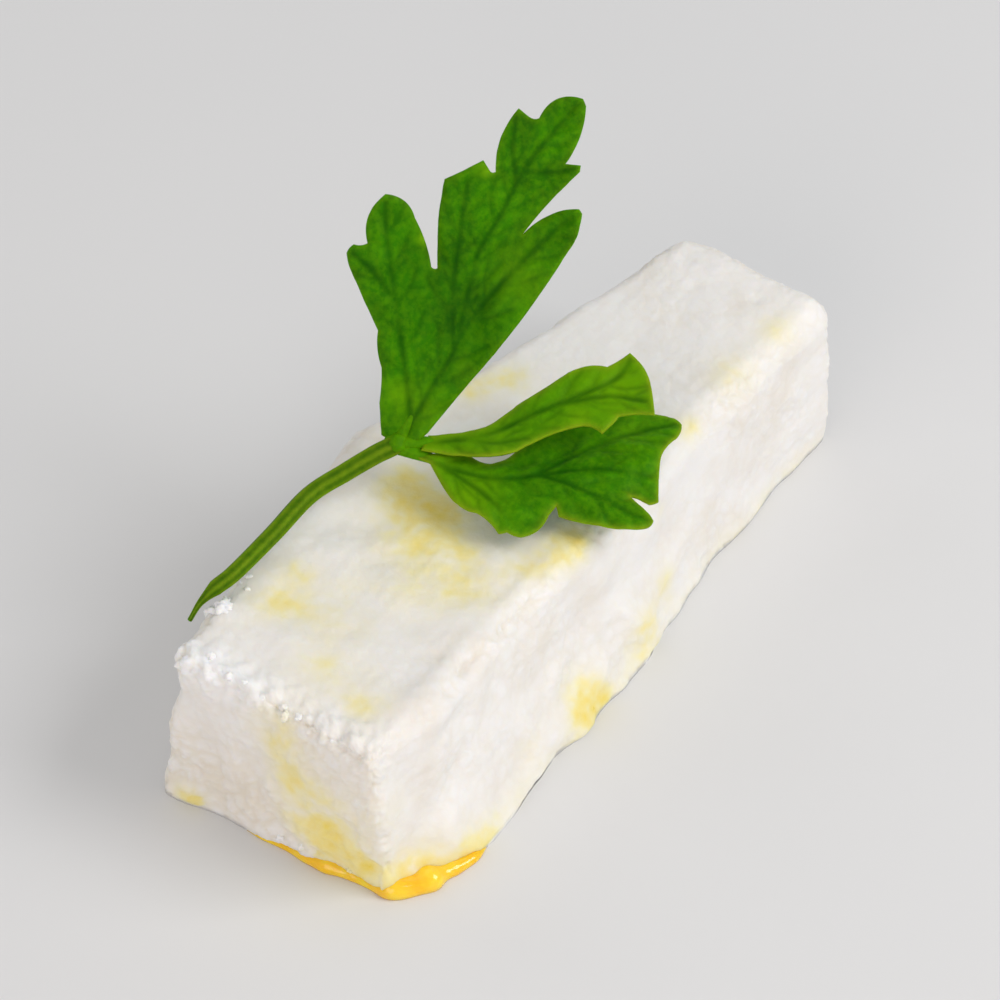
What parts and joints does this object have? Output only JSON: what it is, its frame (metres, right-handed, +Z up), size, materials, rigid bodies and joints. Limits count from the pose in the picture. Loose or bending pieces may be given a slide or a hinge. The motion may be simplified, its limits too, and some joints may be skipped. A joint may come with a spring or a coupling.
{
  "type": "brined white cheese",
  "caption": "Oblong cut block of crumbly brined white cheese, lying flat, with a leafy parsley sprig resting on its top.",
  "frame": {"origin": "middle of the block's flat foot", "axes": "+X runs along the block from its broad end to its narrow end, -Y is the long front side, +Z is up"},
  "size_m": [0.0702, 0.0298, 0.0481],
  "materials": {
    "cheese": "moist, crumbly",
    "parsley": "waxy leaf"
  },
  "bodies": {
    "root": {"cheese_block": "cheese", "parsley_sprig": "parsley"}
  },
  "joints": []
}
